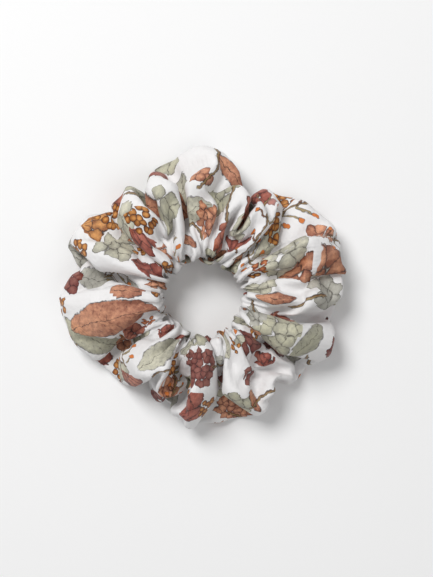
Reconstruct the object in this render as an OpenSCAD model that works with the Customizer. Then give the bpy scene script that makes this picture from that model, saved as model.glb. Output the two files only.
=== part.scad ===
// Scrunchie: a loop of elastic inside a gathered tube of cloth.
//
// The ring lies flat on the table, centred on the origin, with its hole along Z.
// Cloth and elastic are each one continuous piece on the real object. Here both are
// divided into equal stations round the ring, one puff of cloth to a station, so that
// the loop can be pulled open: each station travels by its own share of the stretch.

/* [Ring] */
// Diameter of the hole while the elastic is relaxed
hole_d = 32; // [24:1:45]
// Radial width of the gathered casing, from the hole to the rim of a puff
casing_w = 41; // [32:1:55]
// Height of a puff above the table
puff_h = 34; // [28:1:44]
// Number of puffs round the ring
puff_count = 12; // [10:2:16]

/* [Casing] */
// How far the valley between two puffs sinks in from the rim
valley_depth = 7; // [4:0.5:9]
// How far the top of that valley drops below the top of the puffs
valley_drop = 5; // [2:0.5:8]
// Height of the gathered cloth where it wraps the elastic
neck_h = 14; // [12:0.5:18]
// Bulk of the gathered cloth between the hole and the elastic's channel
inner_bulk = 4.5; // [3:0.1:6]
// Width of the flat that the puffs rest on
rest_flat = 12; // [6:0.5:16]

/* [Elastic] */
// Width of the elastic band
elastic_w = 6; // [4:0.5:7]
// Thickness of the elastic band
elastic_t = 1; // [0.6:0.1:1.4]
// Length over which the two ends of the band lie on each other
join_overlap = 8; // [5:0.5:9]

/* [Stitching] */
// Diameter of the sewing thread
thread_d = 0.4; // [0.25:0.05:0.5]
// Pitch of the stitches along a seam
stitch_pitch = 2.6; // [2:0.1:4]
// Gap between the stitches and whatever lies next to them
fit_gap = 0.15; // [0.1:0.05:0.3]
// Puff whose middle the closing seam crosses
closing_seam_puff = 2; // [1:1:10]
// Number of zigzags across the joined ends of the elastic
join_zigzags = 4; // [2:1:6]

/* [Hidden] */
$fn = 96;

hole_r = hole_d / 2;
rim_r = hole_r + casing_w;
thread_r = thread_d / 2;
station_angle = 360 / puff_count;

// A puff's section is a circle cut flat where it rests on the table
puff_r = (pow(rest_flat / 2, 2) + pow(puff_h, 2)) / (2 * puff_h);
puff_z = puff_h - puff_r;
puff_x = rim_r - puff_r;

// The neck is a flat-ended strip at the hole, tangent to the puff's circle
neck_corner = [hole_r - puff_x, neck_h / 2];
tangent_angle = atan2(neck_corner.y, neck_corner.x) - acos(puff_r / norm(neck_corner));
tangent_point = puff_r * [cos(tangent_angle), sin(tangent_angle)];

// Seen from above, a puff's rim is an arc through the two valleys beside it
valley_r = rim_r - valley_depth;
valley_point = valley_r * [cos(station_angle / 2), sin(station_angle / 2)];
lobe_x = (pow(rim_r, 2) - pow(valley_r, 2)) / (2 * (rim_r - valley_point.x));
lobe_r = rim_r - lobe_x;

// A puff also rounds off towards both valleys, on a cylinder that lies along its middle
valley_top = [valley_point.y, puff_h - valley_drop - puff_z];
belly_r = max(norm(valley_top), puff_r + 0.3);

// The channel holds two layers of elastic where the ends join, with thread outside both
thread_room = thread_d + fit_gap;
channel_in_r = hole_r + inner_bulk;
band_r = channel_in_r + thread_room;
tail_r = band_r + elastic_t;
channel_out_r = tail_r + elastic_t + thread_room;
band_bottom = puff_z - elastic_w / 2;
channel_bottom = band_bottom - thread_room;
channel_h = elastic_w + 2 * thread_room;

// Long seam: a row of stitches on the channel's floor
long_seam_r = tail_r + elastic_t / 2;
long_seam_z = channel_bottom + thread_r;
long_seam_count = floor(long_seam_r * station_angle * PI / 180 / stitch_pitch);
stitch_l = 0.75 * stitch_pitch;

// Elastic join: the overlap of the ends, and a zigzag that stays clear of its edges
overlap_angle = join_overlap / tail_r * 180 / PI;
zigzag_h = elastic_w - 4 * thread_d;
zigzag_angle = (join_overlap - 4 * thread_d) / tail_r * 180 / PI;
thread_sink = 0.4 * thread_r;
tie_r = 1.2 * thread_r;

CLOTH = "whitesmoke";
THREAD = "gainsboro";
BAND = "white";

function number_name(i) = str(i < 10 ? "0" : "", i);
function station_name(piece, i) = str(piece, "_", number_name(i));
function polar(r, angle, z) = [r * cos(angle), r * sin(angle), z];

// A corner of the zigzag on the join, on a face of radius r
function zigzag_point(i, r) = polar(
    r,
    zigzag_angle * (i / (2 * join_zigzags) - 0.5),
    puff_z + (i % 2 == 0 ? -1 : 1) * zigzag_h / 2
);

// A point of the casing's section, the share t along the straight from neck to puff
function slope_point(t, side) = [
    puff_x + neck_corner.x + t * (tangent_point.x - neck_corner.x),
    puff_z + side * (neck_corner.y + t * (tangent_point.y - neck_corner.y))
];
function crown_point(angle) = [puff_x + puff_r * cos(angle), puff_z + puff_r * sin(angle)];

slope_l = norm(tangent_point - neck_corner);
slope_stitches = floor(slope_l / stitch_pitch);
crown_end_angle = -asin((puff_z - 2 * thread_d) / puff_r);
crown_step = stitch_pitch / puff_r * 180 / PI;
crown_stitches = floor((tangent_angle - crown_end_angle) / crown_step);

NODES = concat(
    [for (i = [1:puff_count]) station_name("casing_puff", i)],
    [for (i = [1:puff_count]) station_name("elastic_arc", i)],
    [for (i = [1:puff_count]) station_name("long_seam_stitches", i)],
    ["closing_seam_stitches", "elastic_join_stitches"]
);
node = "all";

function wanted(name) = node == "all" || node == name;

// A round straight rod between two points
module rod(a, b, r) {
    along = b - a;
    translate(a)
        rotate([0, acos(along.z / norm(along)), atan2(along.y, along.x)])
            cylinder(r = r, h = norm(along));
}

// Turns a station's worth of the ring about Z, centred on +X
module swept_station() {
    rotate([0, 0, -station_angle / 2])
        rotate_extrude(angle = station_angle)
            children();
}

// Moves what is drawn at the first station to station i
module at_station(i) {
    rotate([0, 0, (i - 1) * station_angle])
        children();
}

// Section of the gathered casing: neck, slopes and puff, without its channel
module casing_section() {
    intersection() {
        union() {
            translate([puff_x, puff_z])
                circle(r = puff_r);
            polygon([
                slope_point(0, -1),
                slope_point(1, -1),
                [puff_x, puff_z],
                slope_point(1, 1),
                slope_point(0, 1)
            ]);
        }
        translate([hole_r, 0])
            square([casing_w, puff_h]);
    }
}

module channel_section() {
    translate([channel_in_r, channel_bottom])
        square([channel_out_r - channel_in_r, channel_h]);
}

// Seen from above: everything inside the lobe's centre, and the lobe's rounded rim
module puff_outline() {
    union() {
        circle(r = lobe_x);
        translate([lobe_x, 0])
            circle(r = lobe_r);
    }
}

module casing_puff(i) {
    color(CLOTH)
        at_station(i)
            intersection() {
                swept_station()
                    difference() {
                        casing_section();
                        channel_section();
                    }
                linear_extrude(height = puff_h)
                    puff_outline();
                translate([0, 0, puff_z])
                    rotate([0, 90, 0])
                        cylinder(r = belly_r, h = rim_r + 1);
            }
}

// Plan of a slice of the ring, centred on +X
module slice_plan(angle) {
    far = 2 * tail_r;
    polygon([
        [0, 0],
        far * [cos(angle / 2), -sin(angle / 2)],
        far * [cos(angle / 2), sin(angle / 2)]
    ]);
}

// Plan of the band inside a station, with a second layer outside the first at the join
module band_plan(has_join) {
    difference() {
        union() {
            intersection() {
                circle(r = tail_r);
                slice_plan(station_angle);
            }
            if (has_join)
                intersection() {
                    circle(r = tail_r + elastic_t);
                    slice_plan(overlap_angle);
                }
        }
        circle(r = band_r);
    }
}

module elastic_arc(i) {
    color(BAND)
        at_station(i)
            translate([0, 0, band_bottom])
                linear_extrude(height = elastic_w)
                    band_plan(i == 1);
}

// Stitches of the tube's long seam inside one station, lying along the ring
module long_seam_stitches(i) {
    step = station_angle / long_seam_count;
    color(THREAD)
        at_station(i)
            for (k = [0:long_seam_count - 1])
                rotate([0, 0, (k + 0.5) * step - station_angle / 2])
                    translate([long_seam_r, 0, long_seam_z])
                        rotate([90, 0, 0])
                            cylinder(r = thread_r, h = stitch_l, center = true);
}

// One stitch in the plane of the closing seam, from section point a towards b
module section_stitch(a, b) {
    end = a + (b - a) * stitch_l / norm(b - a);
    rod([a.x, 0, a.y], [end.x, 0, end.y], thread_r);
}

// Stitches round the casing where the two ends of the tube are closed on each other
module closing_seam_stitches() {
    color(THREAD)
        at_station(closing_seam_puff) {
            for (side = [-1, 1], k = [0:slope_stitches - 1])
                section_stitch(
                    slope_point((k + 0.15) / slope_stitches, side),
                    slope_point((k + 0.9) / slope_stitches, side)
                );
            for (k = [0:crown_stitches - 1])
                section_stitch(
                    crown_point(tangent_angle - (k + 0.15) * crown_step),
                    crown_point(tangent_angle - (k + 0.9) * crown_step)
                );
        }
}

// Thread on one face of the join, from corner to corner of the zigzag
module zigzag_face(r) {
    for (i = [0:2 * join_zigzags - 1])
        rod(zigzag_point(i, r), zigzag_point(i + 1, r), thread_r);
}

// Zigzag on both faces of the join, tied through its two layers at every corner
module elastic_join_stitches() {
    inner_face_r = band_r - thread_r + thread_sink;
    outer_face_r = tail_r + elastic_t + thread_r - thread_sink;
    color(THREAD)
        union() {
            for (i = [0:2 * join_zigzags])
                rod(
                    zigzag_point(i, inner_face_r - tie_r),
                    zigzag_point(i, outer_face_r + tie_r),
                    tie_r
                );
            zigzag_face(inner_face_r);
            zigzag_face(outer_face_r);
        }
}

for (i = [1:puff_count]) {
    if (wanted(station_name("casing_puff", i))) casing_puff(i);
    if (wanted(station_name("elastic_arc", i))) elastic_arc(i);
    if (wanted(station_name("long_seam_stitches", i))) long_seam_stitches(i);
}
if (wanted("closing_seam_stitches")) closing_seam_stitches();
if (wanted("elastic_join_stitches")) elastic_join_stitches();
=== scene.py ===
import math

import bpy
import numpy as np
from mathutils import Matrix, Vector
from mathutils.bvhtree import BVHTree


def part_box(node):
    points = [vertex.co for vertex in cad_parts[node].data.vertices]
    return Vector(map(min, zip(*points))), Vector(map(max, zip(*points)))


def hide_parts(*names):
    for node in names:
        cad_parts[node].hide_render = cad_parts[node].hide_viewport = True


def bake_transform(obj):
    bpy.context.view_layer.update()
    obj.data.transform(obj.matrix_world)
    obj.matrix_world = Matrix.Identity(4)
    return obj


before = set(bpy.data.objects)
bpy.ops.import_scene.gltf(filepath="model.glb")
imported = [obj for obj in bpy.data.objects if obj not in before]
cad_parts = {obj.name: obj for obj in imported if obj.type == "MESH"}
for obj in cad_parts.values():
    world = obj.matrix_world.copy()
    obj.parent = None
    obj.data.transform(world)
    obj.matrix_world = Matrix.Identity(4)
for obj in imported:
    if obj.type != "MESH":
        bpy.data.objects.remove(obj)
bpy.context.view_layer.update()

# ---------------------------------------------------------------------------
# Sizes. Lengths are in millimetres until a mesh is made.
# ---------------------------------------------------------------------------

MM = 0.001


def node_box(node):
    low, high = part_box(node)
    return np.array(low) / MM, np.array(high) / MM


STATIONS = 12
HALF_STATION = math.pi / STATIONS

far_arc_low, far_arc_high = node_box("elastic_arc_07")
join_arc_high = node_box("elastic_arc_01")[1]
long_seam_low, long_seam_high = node_box("long_seam_stitches_07")
hole_r = -node_box("casing_puff_07")[1][0] / math.cos(HALF_STATION)

band_z = (far_arc_low[2] + far_arc_high[2]) / 2
band_w = far_arc_high[2] - far_arc_low[2]
band_out_r = -far_arc_low[0]
band_t = join_arc_high[0] - band_out_r
band_in_r = band_out_r - band_t
JOIN_OVERLAP = 8.0
LAP_GAP = 0.02
THREAD_D = 0.4
STITCH_PITCH = 2.6

# The tube of cloth before it is gathered
GIRTH = 104.0
LENGTH = 510.0
CLOTH_T = 0.3

# Grid of the simulated tube. The finished one has FINE times as many rows and columns.
AROUND = 40
ALONG = 208
FINE = 2

CLOSING_SEAM_ANGLE = math.radians(30)
NECK_SIM_R = 15.0  # where the simulation leaves the cloth round the hole
BAND_CLEARANCE = 1.1  # between the elastic's edges and the cloth above and below it
DOME = 0.38  # how much fuller the upper side stands than the simulation leaves it
# How far the lobes reach out every 30 degrees, as a share of where the simulation leaves them
REACH = (1.21, 1.30, 1.18, 1.22, 1.27, 1.12, 1.08, 0.96, 0.98, 0.89, 0.90, 0.99)

# ---------------------------------------------------------------------------
# The gathered tube, by cloth simulation
# ---------------------------------------------------------------------------

# Where the folds between the lobes lie, in degrees, and how deep each is
FOLDS = (
    (3, 1.0), (17, 0.8), (40, 1.0), (69, 1.0), (90, 0.45), (105, 1.0), (125, 1.0), (147, 1.0),
    (175, 1.0), (207, 1.0), (239, 1.0), (257, 1.0), (292, 0.6), (313, 1.0), (334, 0.8),
)
PROFILE_SAMPLES = 1440
LOBE_DEPTH = 5.0
RIPPLES = (17, 25, 7, 31)  # waves round the belt, so that no two pleats are alike
END_R = 2.2  # of the bends at the top and bottom of the flattened tube
PIN_EVERY = 4
PIN_R = 14.5
PIN_Z = 17.0
PIN_RISE = 12.0
PLUG_R = 12.5
GATHER_FRAMES = 50
SETTLE_FRAMES = 12
SIM_SCALE = 0.01  # cloth settings suit objects of about a metre, so 1 mm is simulated as 10 mm


def fold_profile():
    """Height round the ring: low in the folds, high on the lobes and 0 on average."""
    profile = np.zeros(PROFILE_SAMPLES)
    for k in range(PROFILE_SAMPLES):
        angle = k * 360 / PROFILE_SAMPLES
        for (a0, depth0), (a1, depth1) in zip(FOLDS, FOLDS[1:] + FOLDS[:1]):
            width, along = (a1 - a0) % 360, (angle - a0) % 360
            if along < width:
                share = along / width
                low = -(depth0 * (1 - share) + depth1 * share)
                hump = math.sin(math.pi * share) ** 0.6
                profile[k] = low * (1 - hump) + hump
    return profile - profile.mean()


def profile_at(profile, angle):
    return profile[int(round(angle / (2 * math.pi) * PROFILE_SAMPLES)) % PROFILE_SAMPLES]


def belt_section():
    """The tube's section pressed flat and standing up. Point 0 is the middle of its inner side."""
    straight = (GIRTH - 2 * math.pi * END_R) / 2
    half, bend = straight / 2, math.pi * END_R
    points = []
    for i in range(AROUND):
        d = i / AROUND * GIRTH
        if d < half:
            points.append((-END_R, d))
        elif d < half + bend:
            turn = math.pi - (d - half) / END_R
            points.append((END_R * math.cos(turn), half + END_R * math.sin(turn)))
        elif d < half + bend + straight:
            points.append((END_R, half - (d - half - bend)))
        elif d < half + 2 * bend + straight:
            turn = -(d - half - bend - straight) / END_R
            points.append((END_R * math.cos(turn), -half + END_R * math.sin(turn)))
        else:
            points.append((-END_R, -half + (d - half - 2 * bend - straight)))
    return points


def belt_grid():
    """The tube as a closed belt with its lobes started, and the angle of each of its columns."""
    profile = fold_profile()
    turn = np.arange(PROFILE_SAMPLES + 1) * 2 * math.pi / PROFILE_SAMPLES
    base_r = LENGTH / (2 * math.pi)
    mid_r = base_r + LOBE_DEPTH * 0.8 * np.append(profile, profile[0])
    step = np.hypot(np.diff(mid_r * np.cos(turn)), np.diff(mid_r * np.sin(turn)))
    run = np.concatenate([[0.0], np.cumsum(step)])
    scale = LENGTH / run[-1]
    angles = np.interp(np.arange(ALONG) * LENGTH / ALONG / scale, run, turn)
    section = belt_section()
    phases = np.random.default_rng(1).uniform(0, 2 * math.pi, len(RIPPLES))
    grid = np.zeros((ALONG, AROUND, 3))
    for j, angle in enumerate(angles):
        lobe = profile_at(profile, angle)
        ripple = sum(math.sin(k * angle + phases[m]) for m, k in enumerate(RIPPLES)) * 0.15
        pleat = 0.6 * (0.5 - 0.5 * math.cos(2 * math.pi * j / PIN_EVERY))
        for i, (x, z) in enumerate(section):
            share = 1.0 if x > 0 else min(1.0, abs(z) / (GIRTH / 4))
            r = base_r * scale + x + (LOBE_DEPTH * lobe + ripple) * (0.15 + 0.85 * share)
            if x < 0:
                r -= pleat * math.exp(-((z / 8) ** 2))
            height = PIN_Z + PIN_RISE + z * (1 + 0.08 * lobe)
            grid[j, i] = r * math.cos(angle), r * math.sin(angle), height
    return grid, angles


def grid_faces(rows, columns, first=0, flip=False):
    """Quads of a grid that closes on itself both ways."""
    j, i = np.meshgrid(np.arange(rows), np.arange(columns), indexing="ij")
    next_j, next_i = (j + 1) % rows, (i + 1) % columns
    corners = [
        j * columns + i, j * columns + next_i, next_j * columns + next_i, next_j * columns + i
    ]
    if flip:
        corners = corners[::-1]
    return np.stack(corners, -1).reshape(-1, 4) + first


def new_object(name, vertices, faces):
    """A smooth-shaded mesh. Its vertices are an array, its faces a list or an array."""
    mesh = bpy.data.meshes.new(name)
    mesh.from_pydata(vertices.tolist(), [], [tuple(int(k) for k in face) for face in faces])
    mesh.update()
    mesh.polygons.foreach_set("use_smooth", np.ones(len(faces), bool))
    piece = bpy.data.objects.new(name, mesh)
    bpy.context.scene.collection.objects.link(piece)
    return piece


def add_collider(piece):
    piece.modifiers.new("collision", "COLLISION")
    piece.collision.thickness_outer = 0.3 * SIM_SCALE
    piece.collision.cloth_friction = 5
    return piece


def gather_by_simulation(start, angles):
    """Pulls the belt's inner side in to the hole, as elastic does, and lets the cloth settle."""
    scene = bpy.context.scene
    cloth = new_object("cloth", start.reshape(-1, 3) * SIM_SCALE, grid_faces(ALONG, AROUND))
    pinned = [j * AROUND for j in range(0, ALONG, PIN_EVERY)]
    cloth.vertex_groups.new(name="pin").add(pinned, 1.0, "REPLACE")
    cloth.shape_key_add(name="Basis")
    gathered = cloth.shape_key_add(name="gathered")
    for j, angle in enumerate(angles):
        gathered.data[j * AROUND].co = Vector(
            (PIN_R * math.cos(angle), PIN_R * math.sin(angle), PIN_Z)
        ) * SIM_SCALE
    for value, at_frame in ((0, 1), (1, GATHER_FRAMES)):
        gathered.value = value
        gathered.keyframe_insert("value", frame=at_frame)
    for curve in cloth.data.shape_keys.animation_data.action.fcurves:
        for key in curve.keyframe_points:
            key.interpolation, key.easing = "SINE", "EASE_IN_OUT"

    modifier = cloth.modifiers.new("cloth", "CLOTH")
    settings, collision = modifier.settings, modifier.collision_settings
    settings.quality, settings.mass, settings.air_damping = 6, 0.3, 1.0
    settings.tension_stiffness = settings.compression_stiffness = 15
    settings.shear_stiffness, settings.bending_stiffness = 4.5, 2.5
    settings.tension_damping = settings.compression_damping = settings.shear_damping = 5
    settings.bending_damping = 0.5
    settings.vertex_group_mass, settings.pin_stiffness = "pin", 1
    settings.use_pressure, settings.uniform_pressure_force = True, 6
    collision.distance_min, collision.collision_quality = 0.5 * SIM_SCALE, 2
    collision.use_self_collision = True
    collision.self_distance_min, collision.self_friction = 0.9 * SIM_SCALE, 2

    bpy.ops.mesh.primitive_plane_add(size=400 * SIM_SCALE)
    helpers = [cloth, add_collider(bpy.context.object)]
    bpy.ops.mesh.primitive_cylinder_add(
        vertices=64, radius=PLUG_R * SIM_SCALE, depth=120 * SIM_SCALE,
        location=(0, 0, 20 * SIM_SCALE)
    )
    helpers.append(add_collider(bpy.context.object))
    bpy.ops.object.effector_add(type="FORCE", location=(0, 0, PIN_Z * SIM_SCALE))
    push = bpy.context.object
    push.field.shape, push.field.strength = "LINE", 60
    push.field.flow = push.field.falloff_power = 0
    helpers.append(push)

    last = GATHER_FRAMES + SETTLE_FRAMES
    modifier.point_cache.frame_start, modifier.point_cache.frame_end = 1, last
    for at_frame in range(1, last + 1):
        scene.frame_set(at_frame)
    result = cloth.evaluated_get(bpy.context.evaluated_depsgraph_get())
    flat = np.empty(len(cloth.data.vertices) * 3)
    result.data.vertices.foreach_get("co", flat)
    for helper in helpers:
        bpy.data.objects.remove(helper)
    scene.frame_set(1)
    return flat.reshape(ALONG, AROUND, 3) / SIM_SCALE


def smoothstep(low, high, x):
    t = np.clip((x - low) / (high - low), 0, 1)
    return t * t * (3 - 2 * t)


def soft_positive(x, width):
    """x where it is positive and 0 where it is negative, rounded off over a width."""
    return width * np.log1p(np.exp(np.clip(x / width, -30, 30)))


def fit_to_ring(grid):
    """Brings the settled cloth to the size of the part, and clear of the elastic in it."""
    x, y, z = np.moveaxis(grid, -1, 0)
    r, angle = np.hypot(x, y), np.arctan2(y, x)
    r = r + (hole_r - NECK_SIM_R) * (1 - smoothstep(NECK_SIM_R, 2 * hole_r, r))
    neck = hole_r + 2
    reach = np.interp(angle % (2 * math.pi), np.arange(13) * math.pi / 6, REACH + REACH[:1])
    r = np.where(r > neck, neck + (r - neck) * reach, r)
    z = z + DOME * soft_positive(z - PIN_Z, 3)

    near_band = smoothstep(hole_r, band_in_r - 0.8, r) * (1 - smoothstep(band_out_r + 2.4, 31, r))
    clear = (band_w / 2 + BAND_CLEARANCE) * near_band
    i = np.arange(AROUND)[None, :]
    upper, lower = (i > 0) & (i < AROUND / 2), i > AROUND / 2
    lifted = band_z + clear + soft_positive(z - band_z - clear, 0.5)
    sunk = band_z - clear - soft_positive(band_z - z - clear, 0.5)
    z = np.where(upper & (near_band > 0), z + (lifted - z) * near_band, z)
    z = np.where(lower & (near_band > 0), z + (sunk - z) * near_band, z)
    return np.stack([r * np.cos(angle), r * np.sin(angle), np.maximum(z, 0.1)], -1)


def refine(grid, axis):
    """One step of subdivision along an axis of a closed grid."""
    before, after = np.roll(grid, 1, axis), np.roll(grid, -1, axis)
    kept = 0.125 * before + 0.75 * grid + 0.125 * after
    between = 0.5 * (grid + after)
    shape = list(grid.shape)
    shape[axis] *= 2
    fine = np.empty(shape)
    where = [slice(None)] * grid.ndim
    where[axis] = slice(0, None, 2)
    fine[tuple(where)] = kept
    where[axis] = slice(1, None, 2)
    fine[tuple(where)] = between
    return fine


def grid_normals(grid):
    along = np.roll(grid, -1, 0) - np.roll(grid, 1, 0)
    around = np.roll(grid, -1, 1) - np.roll(grid, 1, 1)
    normal = np.cross(around, along)
    return normal / np.maximum(np.linalg.norm(normal, axis=-1, keepdims=True), 1e-9)


start_grid, column_angles = belt_grid()
coarse = gather_by_simulation(start_grid, column_angles)
grid = refine(refine(fit_to_ring(coarse), 0), 1)
ROWS, COLUMNS = grid.shape[:2]
seam_column = FINE * int(np.argmin(np.abs(column_angles - CLOSING_SEAM_ANGLE)))

# The closing seam draws the cloth in along a line, and the cloth beside it stands up a little
SEAM_DIPS = ((-2, -0.15), (-1, -0.05), (0, 0.45), (1, -0.05), (2, -0.15))
normals = grid_normals(grid)
for offset, depth in SEAM_DIPS:
    row = (seam_column + offset) % ROWS
    grid[row] -= normals[row] * depth
normals = grid_normals(grid)

# ---------------------------------------------------------------------------
# The print: what is drawn where on the flat cloth
# ---------------------------------------------------------------------------

GROUND = (0.80, 0.785, 0.78)
PEACH = (0.74, 0.31, 0.15)
ROSE = (0.55, 0.145, 0.07)
RUST = (0.42, 0.055, 0.022)
DARK_RUST = (0.21, 0.016, 0.008)
MUSTARD = (0.68, 0.27, 0.02)
ORANGE = (0.66, 0.20, 0.05)
SAGE = (0.46, 0.44, 0.23)
PALE_SAGE = (0.60, 0.57, 0.38)
GREY = (0.38, 0.37, 0.31)
OLIVE = (0.26, 0.19, 0.05)
GREEN = (0.29, 0.28, 0.10)

# Drawing, its layer on the cloth and its number in that layer
DRAWINGS = {
    "petals": ("leaves", 0), "leaf": ("leaves", 1),
    "flower": ("flowers", 0), "fan": ("flowers", 1), "bud": ("flowers", 2),
    "berries": ("sprigs", 0), "twig": ("sprigs", 1), "stem": ("sprigs", 2),
}
LAYERS = ("leaves", "flowers", "sprigs")

# Drawings on the upper side: drawing, colour, place seen from above, reach, angle
PLACED = (
    ("stem", OLIVE, 3, 52, 11, -62), ("bud", PEACH, 12, 53, 7, -50), ("flower", PEACH, 0, 47, 4, 80),
    ("flower", PEACH, 3, 29, 7, 20), ("stem", OLIVE, 13, 37, 9, 80), ("flower", RUST, 22, 39, 5, 40),
    ("fan", ROSE, 17, 31, 8, 75), ("fan", RUST, 12, 20, 7, 70), ("berries", MUSTARD, 35, 41, 6, 0),
    ("berries", MUSTARD, 28, 28, 6, 0), ("twig", OLIVE, 25, 27, 13, 60), ("twig", OLIVE, 19, 16, 9, 110),
    ("twig", OLIVE, 54, 20, 9, 10), ("berries", ORANGE, 22, 13, 3, 0), ("petals", PALE_SAGE, 32, 14, 9, 20),
    ("fan", PEACH, 38, 9, 8, 10), ("fan", PEACH, 50, 11, 8, 30), ("leaf", GREY, 56, 12, 10, 20),
    ("bud", PEACH, 28, 0, 6, 0), ("bud", RUST, 17, 2, 4, -20), ("petals", GREY, 20, -6, 6, -20),
    ("petals", SAGE, 30, -14, 10, -20), ("leaf", GREEN, 41, -17, 8, 40), ("stem", OLIVE, 40, -3, 7, 20),
    ("fan", DARK_RUST, 17, -17, 7, -30), ("flower", PEACH, 12, -42, 8, 0), ("bud", PEACH, 20, -40, 5, -50),
    ("stem", OLIVE, 27, -42, 9, 40), ("flower", DARK_RUST, -2, -26, 9, 80), ("fan", RUST, -5, -44, 8, 70),
    ("berries", MUSTARD, -11, -25, 6, 0), ("fan", PEACH, -14, -35, 7, 70), ("twig", OLIVE, -10, -33, 7, 80),
    ("fan", ROSE, -26, -34, 8, -40), ("leaf", PALE_SAGE, -16, -21, 10, 30), ("bud", PEACH, -35, -8, 16, 12),
    ("berries", ORANGE, -20, -9, 4, 0), ("leaf", SAGE, -43, -16, 12, -20), ("fan", ROSE, -27, -13, 6, 30),
    ("fan", RUST, -23, 20, 7, -60), ("fan", PEACH, -14, 17, 6, -10), ("fan", RUST, -21, 11, 8, -5),
    ("flower", PEACH, -16, 5, 5, 0), ("bud", PEACH, -30, 3, 7, -5), ("petals", GREY, -51, 18, 8, 80),
    ("petals", PALE_SAGE, -34, 22, 8, 60), ("leaf", GREY, -42, 7, 8, 0), ("twig", OLIVE, -34, 9, 8, 10),
    ("berries", MUSTARD, -36, 33, 7, 0), ("berries", MUSTARD, -24, 31, 6, 0), ("fan", MUSTARD, -43, 29, 5, 0),
    ("fan", ROSE, -36, 42, 7, 50), ("petals", SAGE, -25, 44, 10, 80), ("petals", SAGE, -14, 34, 8, 60),
    ("leaf", PALE_SAGE, -5, 33, 8, 30), ("leaf", PALE_SAGE, -22, 55, 9, 0), ("stem", OLIVE, -3, 26, 5, -10),
    ("bud", RUST, -20, 57, 5, -60), ("twig", OLIVE, 36, 35, 8, 20), ("leaf", PALE_SAGE, 26, 21, 8, 50),
    ("stem", OLIVE, -26, 38, 7, -50), ("petals", GREY, 48, 2, 7, 0),
)
PRINT_SIZE = 1.27  # on the reach of each of these

# Drawings all over the rest of the cloth: drawing, colour, reach
SCATTERED = (
    ("petals", SAGE, 9), ("leaf", PALE_SAGE, 10), ("flower", PEACH, 7), ("fan", RUST, 8),
    ("bud", PEACH, 8), ("berries", MUSTARD, 6), ("twig", OLIVE, 10), ("petals", PALE_SAGE, 9),
    ("leaf", GREY, 9), ("fan", ROSE, 8), ("flower", DARK_RUST, 7), ("stem", OLIVE, 9),
)
SCATTER_TRIES = 2600

# Places seen from above that stay plain: place and radius
PLAIN = ((48, 30, 11), (-9, 55, 8), (5, -31, 8), (-46, 0, 7), (32, -30, 8))


def flat_place(row, column):
    """Place on the flat cloth, across it and along it. The seams lie where both are 0."""
    return np.stack([column * GIRTH / COLUMNS, ((row - seam_column) % ROWS) * LENGTH / ROWS], -1)


def wrapped(offset):
    """Shortest offset on the closed tube."""
    size = np.array([GIRTH, LENGTH])
    return (offset + size / 2) % size - size / 2


faces = grid_faces(ROWS, COLUMNS)
face_row, face_column = np.divmod(np.arange(ROWS * COLUMNS), COLUMNS)
face_centre = flat_place(face_row + 0.5, face_column + 0.5)
tree = BVHTree.FromPolygons(grid.reshape(-1, 3).tolist(), faces.tolist())


def seen_from_above(x, y):
    """Place on the flat cloth that shows at x, y, its face and its height, or None."""
    spot, _, face, _ = tree.ray_cast(Vector((x, y, 90)), Vector((0, 0, -1)))
    if face is None:
        return None
    row, column = face_row[face], face_column[face]
    corners = grid[[row, (row + 1) % ROWS, row], [column, column, (column + 1) % COLUMNS]]
    along = (corners[1] - corners[0]) * ROWS / LENGTH
    around = (corners[2] - corners[0]) * COLUMNS / GIRTH
    frame_2d = np.stack([around, along], -1)
    offset = np.linalg.lstsq(frame_2d, np.array(spot) - corners[0], rcond=None)[0]
    return flat_place(row, column) + offset, frame_2d, spot.z


def placed_motifs():
    """Layer, drawing, place on the flat cloth, reach, turn, number and colour of each."""
    motifs = []
    for number, (drawing, colour, x, y, reach, degrees) in enumerate(PLACED):
        found = seen_from_above(x, y) or seen_from_above(x * 0.93, y * 0.93)
        if found is None:
            continue
        place, frame_2d, _ = found
        turn = math.radians(degrees)
        pointing = np.array([math.cos(turn), math.sin(turn), 0])
        across, along = np.linalg.lstsq(frame_2d, pointing, rcond=None)[0]
        motifs.append((
            *DRAWINGS[drawing], *place, reach * PRINT_SIZE, math.atan2(along, across),
            number, colour,
        ))
    return motifs


def scattered_motifs(motifs):
    """Fills the rest of the cloth with the same drawings."""
    random = np.random.default_rng(7)
    motifs = list(motifs)
    for number in range(SCATTER_TRIES):
        drawing, colour, reach = SCATTERED[number % len(SCATTERED)]
        layer, kind = DRAWINGS[drawing]
        reach = reach * random.uniform(0.8, 1.1)
        place = random.uniform((0, 0), (GIRTH, LENGTH))
        turn = random.uniform(0, 2 * math.pi)
        others = np.array([m[2:5] for m in motifs])
        other_layer = np.array([m[0] == layer for m in motifs])
        gap = np.linalg.norm(wrapped(others[:, :2] - place), axis=1)
        room = np.where(other_layer, 0.92, 0.55) * (others[:, 2] + reach)
        if (gap < room).any():
            continue
        row = int(place[1] / LENGTH * ROWS + seam_column) % ROWS
        spot = grid[row, int(place[0] / GIRTH * COLUMNS) % COLUMNS]
        above = seen_from_above(spot[0], spot[1])
        seen = above is not None and above[2] - spot[2] < 1.5
        if seen and any(math.dist(spot[:2], (x, y)) < radius for x, y, radius in PLAIN):
            continue
        motifs.append((layer, kind, *place, reach, turn, 100 + number, colour))
    return motifs


motifs = scattered_motifs(placed_motifs())

# ---------------------------------------------------------------------------
# The casing's mesh: the outer face of the cloth and its back
# ---------------------------------------------------------------------------


def add_attribute(mesh, name, kind, domain, values):
    attribute = mesh.attributes.new(name, kind, domain)
    field = "color" if kind == "FLOAT_COLOR" else "vector"
    attribute.data.foreach_set(field, np.ascontiguousarray(values, dtype=np.float32).ravel())


CORNERS = np.array([[0, 0], [1, 0], [1, 1], [0, 1]]) - 0.5  # across and along, as in grid_faces
CELL = np.array([GIRTH / COLUMNS, LENGTH / ROWS])


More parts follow.
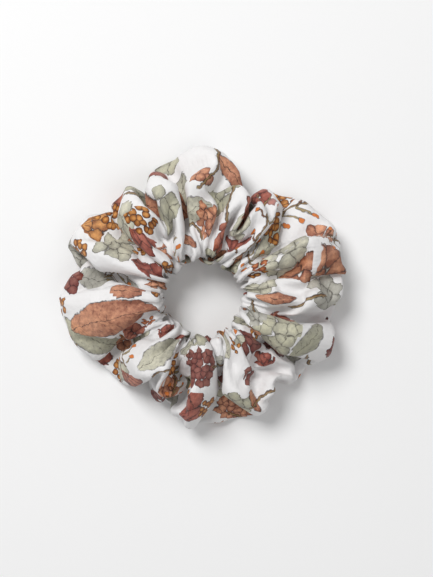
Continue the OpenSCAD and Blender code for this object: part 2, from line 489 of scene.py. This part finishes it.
def layer_values(layer):
    """For each face of the tube: where it lies in its nearest drawing, and what that drawing is."""
    chosen = [m for m in motifs if m[0] == layer]
    place = np.array([m[2:4] for m in chosen])
    reach = np.array([m[4] for m in chosen])
    turn = np.array([m[5] for m in chosen])
    offset = wrapped(face_centre[:, None, :] - place[None])
    nearest = np.argmin(np.linalg.norm(offset, axis=2) / reach, axis=1)
    at_face = offset[np.arange(len(offset)), nearest]
    at_corner = at_face[:, None, :] + CORNERS[None] * CELL
    cos, sin = np.cos(turn[nearest])[:, None], np.sin(turn[nearest])[:, None]
    x = at_corner[..., 0] * cos + at_corner[..., 1] * sin
    y = -at_corner[..., 0] * sin + at_corner[..., 1] * cos
    seed = np.array([m[6] for m in chosen])[nearest]
    corner = np.stack([x, y, np.broadcast_to(seed[:, None], x.shape)], -1)
    kind = np.array([m[1] for m in chosen])[nearest]
    info = np.stack([reach[nearest], kind, seed], -1)
    colour = np.array([m[7] + (1.0,) for m in chosen])[nearest]
    return corner, info, colour


def strip_uv(strips, low, high, row, column):
    """Lays the tube out for the bake: cut lengthwise into strips, in rows between two heights."""
    per_strip = ROWS / strips
    strip = np.clip((face_row // per_strip).astype(int), 0, strips - 1)[:, None]
    across = 2 if strips > 1 else 1
    down = math.ceil(strips / across)
    u = (row - strip * per_strip) / per_strip
    v = column / COLUMNS
    margin = 0.004
    width, height = 1 / across, (high - low) / down
    left, bottom = (strip % across) * width, low + (strip // across) * height
    return np.stack([
        left + margin + u * (width - 2 * margin), bottom + margin + v * (height - 2 * margin)
    ], -1)


def build_casing():
    back = grid - normals * CLOTH_T
    count = ROWS * COLUMNS
    vertices = np.concatenate([grid.reshape(-1, 3), back.reshape(-1, 3)]) * MM
    casing = new_object("casing", vertices, np.concatenate([
        faces, grid_faces(ROWS, COLUMNS, first=count, flip=True),
    ]))
    mesh = casing.data
    row = face_row[:, None] + np.array([0, 0, 1, 1])
    column = face_column[:, None] + np.array([0, 1, 1, 0])
    order = [3, 2, 1, 0]
    flat = np.stack([column * CELL[0], row * CELL[1]], -1)
    bake = strip_uv(4, 0.2, 1.0, row, column)
    bake_back = strip_uv(1, 0.0, 0.2, row, column)
    for name, front_values, back_values in (
        ("cloth", flat, flat), ("OFBake", bake, bake_back),
    ):
        values = np.concatenate([front_values, back_values[:, order]])
        layer = mesh.uv_layers.new(name=name)
        layer.data.foreach_set("uv", np.ascontiguousarray(values, dtype=np.float32).ravel())
    for layer in LAYERS:
        corner, info, colour = layer_values(layer)
        for ending, kind, domain, front_values, back_values in (
            ("_at", "FLOAT_VECTOR", "CORNER", corner, corner[:, order]),
            ("_is", "FLOAT_VECTOR", "FACE", info, info),
            ("_ink", "FLOAT_COLOR", "FACE", colour, colour),
        ):
            values = np.concatenate([front_values, back_values])
            add_attribute(mesh, layer + ending, kind, domain, values)
    mesh.polygons.foreach_set("material_index", np.repeat([0, 1], count))
    return casing


# ---------------------------------------------------------------------------
# Elastic and thread
# ---------------------------------------------------------------------------


def thread_along(path, sides=8):
    """Closed tube along a path of points, with rounded ends, as vertices and faces."""
    tangent = np.gradient(path, axis=0)
    tangent /= np.linalg.norm(tangent, axis=1, keepdims=True)
    side = np.cross(tangent, (0, 0, 1.0))
    weak = np.linalg.norm(side, axis=1) < 0.2
    side[weak] = np.cross(tangent[weak], (1.0, 0, 0))
    side /= np.linalg.norm(side, axis=1, keepdims=True)
    up = np.cross(side, tangent)
    share = np.linspace(0, 1, len(path))
    swell = np.sqrt(np.clip(1 - np.abs(2 * share - 1) ** 6, 0.05, 1))
    turn = np.arange(sides) * 2 * math.pi / sides
    rings = path[:, None] + THREAD_D / 2 * swell[:, None, None] * (
        side[:, None] * np.cos(turn)[None, :, None] + up[:, None] * np.sin(turn)[None, :, None]
    )
    rows = len(path)
    start, end, last = rows * sides, rows * sides + 1, (rows - 1) * sides
    around = [(s, (s + 1) % sides) for s in range(sides)]
    quads = [
        (first + a, first + b, first + sides + b, first + sides + a)
        for first in range(0, last, sides) for a, b in around
    ]
    caps = [(start, b, a) for a, b in around] + [(end, last + a, last + b) for a, b in around]
    return np.concatenate([rings.reshape(-1, 3), [path[0], path[-1]]]), quads + caps


def join_tubes(name, tubes):
    """One piece from several tubes."""
    vertices, all_faces, first = [], [], 0
    for points, quads in tubes:
        vertices.append(points)
        all_faces += [tuple(k + first for k in quad) for quad in quads]
        first += len(points)
    return new_object(name, np.concatenate(vertices) * MM, all_faces)


def stitched_line(points, lift, sink):
    """Stitches along a closed line of points. Each rises along the lift directions in its middle
    and dips back below the line at its ends, by a share of the thread."""
    closed = np.concatenate([points, points[:1]])
    raised = np.concatenate([lift, lift[:1]])
    run = np.concatenate([[0], np.cumsum(np.linalg.norm(np.diff(closed, axis=0), axis=1))])
    count = int(run[-1] / STITCH_PITCH)
    tubes = []
    for k in range(count):
        share = np.linspace(0, 1, 7)
        at = (k + 0.1 + 0.75 * share) * run[-1] / count
        path = np.stack([np.interp(at, run, closed[:, axis]) for axis in range(3)], -1)
        out = np.stack([np.interp(at, run, raised[:, axis]) for axis in range(3)], -1)
        arch = (THREAD_D * (0.35 + sink) * np.sin(math.pi * share) - THREAD_D * sink)[:, None]
        tubes.append(thread_along(path + out * arch))
    return tubes


def build_elastic():
    """One strip of braided elastic, round the ring once, with its end lapped over its start."""
    lap = JOIN_OVERLAP / band_out_r
    climb = math.radians(9)
    steps = 420
    total = 2 * math.pi + lap
    angle = -lap / 2 + np.linspace(0, total, steps)
    lap_start = 2 * math.pi - lap / 2
    rise = smoothstep(lap_start - climb, lap_start, angle) * (band_t + LAP_GAP)
    ribs, across = 7, 29
    share = np.linspace(-1, 1, across)
    rib = 0.5 - 0.5 * np.cos((share + 1) * ribs * math.pi)
    half_t = (band_t / 2) * (1 - np.abs(share) ** 8 * 0.45) * (0.86 + 0.14 * rib)
    half_w = band_w / 2 * share
    profile_r = np.concatenate([half_t, -half_t[::-1]])
    profile_z = np.concatenate([half_w, half_w[::-1]])
    mid_r = (band_in_r + band_out_r) / 2 + rise
    r = mid_r[:, None] + profile_r[None]
    vertices = np.stack([
        r * np.cos(angle)[:, None], r * np.sin(angle)[:, None],
        np.broadcast_to(band_z + profile_z, r.shape),
    ], -1).reshape(-1, 3)
    ring = len(profile_r)
    quads = [
        (first + s, first + ring + s, first + ring + (s + 1) % ring, first + (s + 1) % ring)
        for first in range(0, (steps - 1) * ring, ring) for s in range(ring)
    ]
    quads.append(tuple(range(ring)))
    quads.append(tuple((steps - 1) * ring + s for s in reversed(range(ring))))
    elastic = new_object("elastic_band", vertices * MM, quads)
    run = (angle - angle[0]) * band_out_r
    uv = []
    for k in range(steps - 1):
        for s in range(ring):
            for row, column in ((k, s), (k + 1, s), (k + 1, s + 1), (k, s + 1)):
                uv.append((run[row], profile_z[column % ring] + band_w / 2))
    uv += [(0, profile_z[s]) for s in range(ring)]
    uv += [(run[-1], profile_z[s]) for s in reversed(range(ring))]
    place = elastic.data.uv_layers.new(name="strip")
    place.data.foreach_set("uv", np.array(uv, dtype=np.float32).ravel())
    return elastic


def build_join_stitches():
    """Zigzags on both faces of the lap, and a tie through it at each of their corners."""
    corners = 9
    span = (JOIN_OVERLAP - 4 * THREAD_D) / band_out_r
    height = band_w - 4 * THREAD_D
    angle = np.linspace(-span / 2, span / 2, corners)
    z = band_z + height / 2 * np.where(np.arange(corners) % 2 == 0, -1, 1)
    inner_r, outer_r = band_in_r, band_out_r + band_t
    paths = []
    for r in (inner_r - THREAD_D * 0.3, outer_r + THREAD_D * 0.3):
        for k in range(corners - 1):
            share = np.linspace(0, 1, 7)
            paths.append((r, angle[k] + share * np.diff(angle)[k], z[k] + share * np.diff(z)[k]))
    for k in range(corners):
        tie_r = np.linspace(inner_r - THREAD_D * 0.5, outer_r + THREAD_D * 0.5, 6)
        paths.append((tie_r, angle[k], np.full(6, z[k])))
    return join_tubes("elastic_join_thread", [
        thread_along(np.stack([r * np.cos(a), r * np.sin(a), h], -1)) for r, a, h in paths
    ])


def build_closing_seam():
    tubes = stitched_line(grid[seam_column], normals[seam_column], 0.25)
    return join_tubes("closing_seam_thread", tubes)


def build_long_seam():
    """Along the lower side of the tube, on the back of the cloth, below the elastic."""
    mean_r = np.hypot(grid[..., 0], grid[..., 1]).mean(0)
    lower = np.arange(COLUMNS) > COLUMNS * 0.75
    seam_r = (long_seam_low[0] + long_seam_high[0]) / -2
    column = int(np.argmin(np.where(lower, np.abs(mean_r - seam_r), 1e9)))
    line = grid[:, column] - normals[:, column] * (CLOTH_T + THREAD_D * 0.1)
    return join_tubes("long_seam_thread", stitched_line(line, -normals[:, column], 0.1))


# ---------------------------------------------------------------------------
# Materials
# ---------------------------------------------------------------------------


class Value:
    """One output of a material's nodes. Arithmetic on it adds nodes."""

    def __init__(self, graph, socket):
        self.graph, self.socket = graph, socket

    def __add__(self, other):
        return self.graph.math("ADD", self, other)

    def __radd__(self, other):
        return self.graph.math("ADD", other, self)

    def __sub__(self, other):
        return self.graph.math("SUBTRACT", self, other)

    def __rsub__(self, other):
        return self.graph.math("SUBTRACT", other, self)

    def __mul__(self, other):
        return self.graph.math("MULTIPLY", self, other)

    def __rmul__(self, other):
        return self.graph.math("MULTIPLY", other, self)

    def __truediv__(self, other):
        return self.graph.math("DIVIDE", self, other)

    def __abs__(self):
        return self.graph.math("ABSOLUTE", self)

    def __neg__(self):
        return self.graph.math("MULTIPLY", self, -1)


class Graph:
    """A material's nodes, with one Principled shader at the end."""

    def __init__(self, name, **shader_values):
        self.material = bpy.data.materials.new(name)
        self.material.use_nodes = True
        self.tree = self.material.node_tree
        self.tree.nodes.clear()
        self.shader = self.tree.nodes.new("ShaderNodeBsdfPrincipled")
        output = self.tree.nodes.new("ShaderNodeOutputMaterial")
        self.tree.links.new(self.shader.outputs[0], output.inputs[0])
        for socket, value in shader_values.items():
            self.shader.inputs[socket.replace("_", " ")].default_value = value

    def put(self, socket, value):
        if isinstance(value, Value):
            self.tree.links.new(value.socket, socket)
        else:
            socket.default_value = value

    def node(self, kind, inputs=(), **settings):
        node = self.tree.nodes.new(kind)
        for key, value in settings.items():
            setattr(node, key, value)
        for key, value in dict(inputs).items():
            self.put(node.inputs[key], value)
        return node

    def math(self, operation, *values, clamp=False):
        node = self.node("ShaderNodeMath", enumerate(values), operation=operation, use_clamp=clamp)
        return Value(self, node.outputs[0])

    def smooth(self, low, high, x):
        """0 below low, 1 above high."""
        node = self.node("ShaderNodeMapRange", {"Value": x, "From Min": low, "From Max": high},
                         interpolation_type="SMOOTHSTEP")
        return Value(self, node.outputs[0])

    def split(self, vector):
        node = self.node("ShaderNodeSeparateXYZ", {0: vector})
        return [Value(self, out) for out in node.outputs]

    def vector(self, x, y, z=0.0):
        return Value(self, self.node("ShaderNodeCombineXYZ", {0: x, 1: y, 2: z}).outputs[0])

    def attribute(self, name, output="Vector"):
        return Value(self, self.node("ShaderNodeAttribute", attribute_name=name).outputs[output])

    def uv(self, name):
        return Value(self, self.node("ShaderNodeUVMap", uv_map=name).outputs[0])

    def noise(self, vector, scale, detail=2.0, roughness=0.5):
        node = self.node("ShaderNodeTexNoise", {
            "Vector": vector, "Scale": scale, "Detail": detail, "Roughness": roughness,
        })
        return Value(self, node.outputs[0])

    def mix(self, a, b, share, blend="MIX"):
        node = self.node("ShaderNodeMix", data_type="RGBA", blend_type=blend)
        self.put(node.inputs[0], share)
        for socket, value in ((node.inputs[6], a), (node.inputs[7], b)):
            self.put(socket, value if isinstance(value, Value) else (*value, 1.0))
        return Value(self, node.outputs[2])

    def line(self, distance, width):
        """1 within half the width of where the distance is 0."""
        return 1 - self.smooth(width * 0.3, width * 0.7, abs(distance))

    def cells(self, x, y, size, seed):
        """Rounded cells: distance from a cell's centre and to its edge, its centre, its shade."""
        shift_x, shift_y = seed * 17.31, seed * 9.17
        place = self.vector(x / size + shift_x, y / size + shift_y)
        cell, edge = (
            self.node("ShaderNodeTexVoronoi", {"Vector": place, "Scale": 1.0, "Randomness": 0.7},
                      voronoi_dimensions="2D", feature=feature)
            for feature in ("F1", "DISTANCE_TO_EDGE")
        )
        centre_x, centre_y, _ = self.split(Value(self, cell.outputs["Position"]))
        shade = self.split(Value(self, cell.outputs["Color"]))[0]
        return (Value(self, cell.outputs["Distance"]), Value(self, edge.outputs["Distance"]),
                (centre_x - shift_x) * size, (centre_y - shift_y) * size, shade)

    def bump(self, height, distance, strength=1.0, normal=None):
        node = self.node("ShaderNodeBump", {
            "Height": height, "Distance": distance, "Strength": strength,
        })
        if normal is not None:
            self.put(node.inputs["Normal"], normal)
        return Value(self, node.outputs[0])


INK = (0.035, 0.026, 0.024)
WOBBLE = 2.8


class Drawing:
    """What a drawing needs: its coordinates in mm, with a hand's wobble, its reach and its colour.

    Each kind of drawing gives where it covers, its ink lines and how far into the shade it is.
    """

    def __init__(self, g, layer, tint=(1.0, 0.76, 0.58), shade=(0.13, 0.010, 0.004)):
        self.g, self.tint, self.shade = g, tint, shade
        self.plain_x, self.plain_y, self.seed = g.split(g.attribute(layer + "_at"))
        self.reach, self.kind, _ = g.split(g.attribute(layer + "_is"))
        self.colour = g.attribute(layer + "_ink", "Color")
        here = g.vector(self.plain_x, self.plain_y, self.seed * 3.7)
        mirrored = g.vector(self.plain_y, self.plain_x, self.seed * 5.3)
        self.x = self.plain_x + (g.noise(here, 0.38, 2, 0.45) - 0.5) * WOBBLE
        self.y = self.plain_y + (g.noise(mirrored, 0.38, 2, 0.45) - 0.5) * WOBBLE
        self.wash = g.noise(here, 0.6, 4, 0.65)
        self.grain = g.noise(here, 4.2, 2, 0.6)
        strokes = g.vector(self.x * 0.7, self.y * 3.6, self.seed)
        self.hatch = g.smooth(0.60, 0.70, g.noise(strokes, 1.0, 3, 0.6))

    def is_kind(self, number):
        return 1 - self.g.smooth(0.3, 0.6, abs(self.kind - number))

    def distance(self, x, y):
        return self.g.math("SQRT", x * x + y * y)

    def petals(self, size):
        """A cluster of whole rounded petals."""
        g = self.g
        away, edge, centre_x, centre_y, shade = g.cells(self.x, self.y, size, self.seed)
        inside = 1 - g.smooth(0.829, 0.831, self.distance(centre_x, centre_y) / self.reach)
        disc = 1 - g.smooth(0.70, 0.74, away)
        lines = g.math("MAXIMUM", 1 - g.smooth(0.02, 0.075, edge), g.line(away - 0.70, 0.12) * 0.9)
        lines = inside * lines * (1 - g.smooth(0.76, 0.78, away))
        return inside * disc, lines, 0.75 * g.smooth(0.1, 0.7, away) + 0.5 * shade

    def fan(self):
        """Pointed petals that spread from one end."""
        g = self.g
        base_x = self.x + self.reach * 0.85
        run = self.distance(base_x, self.y) / self.reach
        turn = g.math("ARCTAN2", self.y, base_x)
        away, edge, centre_run, centre_turn, shade = g.cells(run * 1.35, turn * 2.4, 1.0, self.seed)
        rim = centre_run / 1.35 + abs(centre_turn) * 0.3
        inside = (1 - g.smooth(1.669, 1.671, rim)) * (1 - g.smooth(0.74, 0.8, abs(turn)))
        disc = 1 - g.smooth(0.68, 0.72, away)
        lines = g.math("MAXIMUM", 1 - g.smooth(0.02, 0.08, edge), g.line(away - 0.67, 0.12))
        lines = inside * lines * (1 - g.smooth(0.74, 0.76, away))
        return inside * disc, lines, 0.8 * g.smooth(0.05, 0.7, away) + 0.5 * shade

    def blade(self, width, point, veins):
        """A leaf or long petal: pointed at both ends, with a midrib and slanted veins."""
        g = self.g
        share = self.x / (self.reach * 0.95)
        taper = g.math("MAXIMUM", 1 - share * share, 0.0001)
        half = g.math("POWER", taper, point) * self.reach * width
        inside = g.smooth(0.0, 0.25, half - abs(self.y))
        within = 1 - g.smooth(1.02, 1.06, abs(share))
        outline = g.line(half - abs(self.y), 0.55) * within
        midrib = g.line(self.y, 0.32) * g.smooth(0.3, 0.8, half)
        slant = g.math("FRACT", (self.x - abs(self.y) * 0.8) / veins + 10.0)
        vein = g.line((slant - 0.5) * veins, 0.28) * g.smooth(0.45, 0.62, self.wash) * 0.8
        lines = g.math("MAXIMUM", outline, g.math("MAXIMUM", midrib, vein) * inside)
        edge_tone = g.smooth(0.0, 1.0, abs(self.y) / (half + 0.3))
        return inside, lines, 0.5 + share * 0.45 + 0.3 * edge_tone

    def stem(self, bend, width):
        """A bowed stalk. The width is from its middle to its edge."""
        g = self.g
        share = self.x / self.reach
        off = self.y - self.reach * bend * (1 - share * share)
        in_reach = 1 - g.smooth(0.93, 0.97, abs(share))
        inside = (1 - g.smooth(width * 0.8, width * 1.1, abs(off))) * in_reach
        return inside, g.line(abs(off) - width, width * 0.7) * in_reach, 0.5 + off * 0.9

    def twig(self):
        """A stem with paired side shoots. Gives its buds too, one at the tip of each shoot."""
        g = self.g
        trunk, trunk_lines, tone = self.stem(0.12, 0.42)
        pitch = self.reach * 0.52
        side = abs(self.y)
        along = g.math("FRACT", (self.x + self.reach) / pitch) * pitch
        tip = self.reach * 0.36
        off = (along - side * 0.9 - 0.4) * 0.74
        in_reach = 1 - g.smooth(0.78, 0.84, abs(self.x) / self.reach)
        limit = (1 - g.smooth(tip, tip + 0.3, side)) * in_reach
        shoot = (1 - g.smooth(0.22, 0.38, abs(off))) * limit
        shoot_lines = g.line(abs(off) - 0.34, 0.3) * limit * 0.8
        bud_away = self.distance(along - tip * 0.9 - 0.9, side - tip - 0.4)
        bud = (1 - g.smooth(0.85, 1.0, bud_away)) * in_reach
        bud_lines = g.line(bud_away - 0.95, 0.32) * in_reach
        lines = g.math("MAXIMUM", trunk_lines, g.math("MAXIMUM", shoot_lines, bud_lines))
        return g.math("MAXIMUM", trunk, shoot), lines, tone, bud

    def berries(self):
        """A cluster of small round berries, with less of the wobble."""
        g = self.g
        x = self.plain_x + (self.x - self.plain_x) * 0.35
        y = self.plain_y + (self.y - self.plain_y) * 0.35
        away, edge, centre_x, centre_y, shade = g.cells(x, y, 2.5, self.seed)
        inside = 1 - g.smooth(0.779, 0.781, self.distance(centre_x, centre_y) / self.reach)
        disc = 1 - g.smooth(0.53, 0.56, away)
        lines = g.math("MAXIMUM", 1 - g.smooth(0.03, 0.08, edge), g.line(away - 0.52, 0.12))
        lines = inside * lines * (1 - g.smooth(0.57, 0.59, away))
        return inside * disc, lines, g.smooth(0.05, 0.5, away) * 0.85 + 0.4 * shade


def lay_drawing(g, ground, drawing, kind, covers, lines, tone, strength=0.95, ink_share=0.85):
    """Puts one kind of drawing on what lies below it: its wash of colour, then its ink."""
    chosen = drawing.is_kind(kind)
    depth = g.math("MULTIPLY_ADD", drawing.wash - 0.5, 2.0, tone, clamp=True)
    light = g.mix(drawing.colour, drawing.tint, 0.12)
    wash = g.mix(light, g.mix(drawing.colour, drawing.shade, 0.75), depth)
    speck = g.smooth(0.55, 0.66, drawing.grain)
    wash = g.mix(wash, g.mix(drawing.colour, INK, 0.6), speck * 0.45)
    ground = g.mix(ground, wash, g.math("MULTIPLY", covers * chosen, strength, clamp=True))
    broken = 0.45 + 0.55 * g.smooth(0.40, 0.55, drawing.wash)
    lines = g.math("MAXIMUM", lines, drawing.hatch * covers * 0.45)
    return g.mix(ground, INK, g.math("MULTIPLY", lines * chosen * broken, ink_share, clamp=True))


def weave_height(g, u, v, pitch=0.5):
    """A fine twill, threads crossing on the slant, with the unevenness of spun yarn."""
    turn = 2 * math.pi / pitch
    diagonal = g.math("SINE", (u + v) * turn)
    thread = g.math("SINE", u * turn) * g.math("SINE", v * turn)
    slub = g.noise(g.vector(u * 0.35, v * 3.0), 1.0, 2)
    return diagonal * 0.5 + thread * 0.35 + (slub - 0.5) * 0.8


def cloth_surface(g, colour, u, v, rough):
    """Colour, roughness and relief of woven, washed cotton."""
    weave = weave_height(g, u, v)
    place = g.vector(u, v)
    crumple = g.noise(place, 0.16, 3, 0.55)
    creases = g.noise(g.vector(u * 0.25, v * 0.9, 4.0), 0.55, 3, 0.6)
    yarn = g.smooth(0.2, 1.4, weave) * 0.12
    roughness = g.math("ADD", rough + (crumple - 0.5) * 0.12, weave * 0.03, clamp=True)
    g.put(g.shader.inputs["Base Color"], g.mix(colour, (0.62, 0.60, 0.60), yarn, "MULTIPLY"))
    g.put(g.shader.inputs["Roughness"], roughness)
    soft = g.bump(crumple + creases * 0.55, 0.0011, 0.75)
    g.put(g.shader.inputs["Normal"], g.bump(weave, 0.00005, 0.8, soft))


def printed_cloth():
    g = Graph("printed_cloth", Sheen_Weight=0.10, Sheen_Roughness=0.4, Specular_IOR_Level=0.25)
    u, v, _ = g.split(g.uv("cloth"))
    mottle = g.noise(g.vector(u, v), 0.05, 3)
    colour = g.mix(GROUND, (0.86, 0.85, 0.85), mottle)

    # The numbers 0, 1 and 2 are those of DRAWINGS
    leaves = Drawing(g, "leaves", tint=(0.94, 0.89, 0.68), shade=(0.12, 0.11, 0.04))
    for kind, drawn in ((0, leaves.petals(4.6)), (1, leaves.blade(0.42, 0.75, 2.6))):
        colour = lay_drawing(g, colour, leaves, kind, *drawn, strength=0.72, ink_share=0.7)

    flowers = Drawing(g, "flowers")
    heads = (flowers.petals(3.1), flowers.fan(), flowers.blade(0.36, 0.6, 3.4))
    for kind, drawn in enumerate(heads):
        colour = lay_drawing(g, colour, flowers, kind, *drawn)

    sprigs = Drawing(g, "sprigs")
    *twig, buds = sprigs.twig()
    colour = lay_drawing(g, colour, sprigs, 1, *twig)
    colour = g.mix(colour, ORANGE, buds * sprigs.is_kind(1))
    colour = lay_drawing(g, colour, sprigs, 2, *sprigs.stem(0.3, 0.6))
    colour = lay_drawing(g, colour, sprigs, 0, *sprigs.berries(), strength=0.98, ink_share=0.95)
    cloth_surface(g, colour, u, v, 0.62)
    return g.material


def cloth_back():
    """The wrong side, where the print barely comes through."""
    g = Graph("cloth_back", Sheen_Weight=0.15, Sheen_Roughness=0.5, Specular_IOR_Level=0.3)
    u, v, _ = g.split(g.uv("cloth"))
    shadow = g.noise(g.vector(u, v), 0.09, 2)
    colour = g.mix(GROUND, (0.70, 0.62, 0.56), g.smooth(0.55, 0.75, shadow))
    cloth_surface(g, colour, u, v, 0.7)
    return g.material


def braided_elastic():
    """Slanted ribs that meet in rows of herringbone, with fibres on them, and painted shade in the grooves
    between the ribs.
    """
    g = Graph("braided_elastic", Sheen_Weight=0.2, Specular_IOR_Level=0.4)
    run, across, _ = g.split(g.uv("strip"))
    zig = abs(g.math("FRACT", across / 1.72) - 0.5)
    braid = g.math("SINE", (run / 0.55 + zig * 2.6) * 2 * math.pi)
    fibre = g.noise(g.vector(run * 4.0, across * 1.5), 1.6, 3)
    tone = g.noise(g.vector(run, across), 0.2, 2)
    colour = g.mix((0.74, 0.73, 0.71), (0.83, 0.82, 0.81), tone)
    # Painted shade: darker in the braid's grooves, where its relief is lowest.
    colour = g.mix(colour, (0.5, 0.49, 0.47), g.smooth(0.0, 1.0, -braid) * 0.5)
    g.put(g.shader.inputs["Base Color"], colour)
    g.put(g.shader.inputs["Roughness"], 0.6 + fibre * 0.25)
    g.put(g.shader.inputs["Normal"], g.bump(braid * 0.6 + fibre, 0.00012, 0.8))
    return g.material


def sewing_thread():
    """Twisted ply with a little lint, and painted shade along the twist. Its coordinates are in metres."""
    g = Graph("sewing_thread", Sheen_Weight=0.3, Specular_IOR_Level=0.45)
    place = Value(g, g.node("ShaderNodeTexCoord").outputs["Object"])
    x, y, z = g.split(place)
    ply = g.math("SINE", (x + y + z * 1.4) * (2 * math.pi / 0.00034))
    lint = g.noise(place, 2600, 2)
    # Darker stripes along the ply's twist are painted shade; the lint adds its own random tone.
    twist_shade_and_lint = g.smooth(0.1, 1.0, ply) * 0.6 + lint * 0.2
    g.put(g.shader.inputs["Base Color"], g.mix((0.80, 0.78, 0.76), (0.62, 0.60, 0.58), twist_shade_and_lint))
    g.put(g.shader.inputs["Roughness"], 0.45 + lint * 0.3)
    g.put(g.shader.inputs["Normal"], g.bump(ply + lint * 0.5, 0.00006, 0.9))
    return g.material


def pale_table():
    g = Graph("pale_table", Roughness=0.9, Specular_IOR_Level=0.1)
    place = Value(g, g.node("ShaderNodeTexCoord").outputs["Object"])
    tone = g.noise(place, 3, 3)
    g.put(g.shader.inputs["Base Color"], g.mix((0.90, 0.90, 0.90), (0.93, 0.93, 0.93), tone))
    return g.material


# ---------------------------------------------------------------------------
# The pieces, with their materials, in place of the parts they stand for
# ---------------------------------------------------------------------------


def stand_for(piece, slot, nodes, *materials):
    for material in materials:
        piece.data.materials.append(material)
    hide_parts(*nodes)
    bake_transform(piece)
    return piece


def numbered(name):
    return [f"{name}_{i:02d}" for i in range(1, STATIONS + 1)]


casing = stand_for(
    build_casing(), "printed_cloth", numbered("casing_puff"), printed_cloth(), cloth_back()
)
stand_for(build_elastic(), "elastic", numbered("elastic_arc"), braided_elastic())
thread = sewing_thread()
stand_for(build_long_seam(), "thread", numbered("long_seam_stitches"), thread)
stand_for(build_closing_seam(), "thread", ["closing_seam_stitches"], thread)
stand_for(build_join_stitches(), "thread", ["elastic_join_stitches"], thread)

# ---------------------------------------------------------------------------
# Table, light and camera
# ---------------------------------------------------------------------------

bpy.ops.mesh.primitive_plane_add(size=6, location=(0, 0, 0))
table = bpy.context.object
table.name = "table"
table.data.materials.append(pale_table())


def area_light(name, place, size, power, target=(0, 0, 0.015)):
    light = bpy.data.lights.new(name, "AREA")
    light.shape, light.size, light.energy = "DISK", size, power
    piece = bpy.data.objects.new(name, light)
    piece.location = place
    piece.rotation_euler = (Vector(target) - Vector(place)).to_track_quat("-Z", "Y").to_euler()
    bpy.context.scene.collection.objects.link(piece)


area_light("key", (-0.38, 0.50, 0.90), 0.50, 8.8)
area_light("fill", (0.50, -0.35, 1.0), 0.9, 2.0)

world = bpy.data.worlds.new("studio")
world.use_nodes = True
background = world.node_tree.nodes["Background"]
background.inputs["Color"].default_value = (1, 1, 1, 1)
background.inputs["Strength"].default_value = 0.30
bpy.context.scene.world = world
bpy.context.scene.view_settings.view_transform = "Standard"

# Straight above, in metres. The picture is FRAME_H high at half the ring's height, MID_Z.
FRAME_H = 0.225
MID_Z = 0.014
camera_data = bpy.data.cameras.new("camera")
camera_data.sensor_fit = "VERTICAL"
camera_data.sensor_height, camera_data.lens = 36, 85
camera = bpy.data.objects.new("camera", camera_data)
camera.location = (0.0053, 0.0037, MID_Z + FRAME_H * camera_data.lens / camera_data.sensor_height)
bpy.context.scene.collection.objects.link(camera)
bpy.context.scene.camera = camera
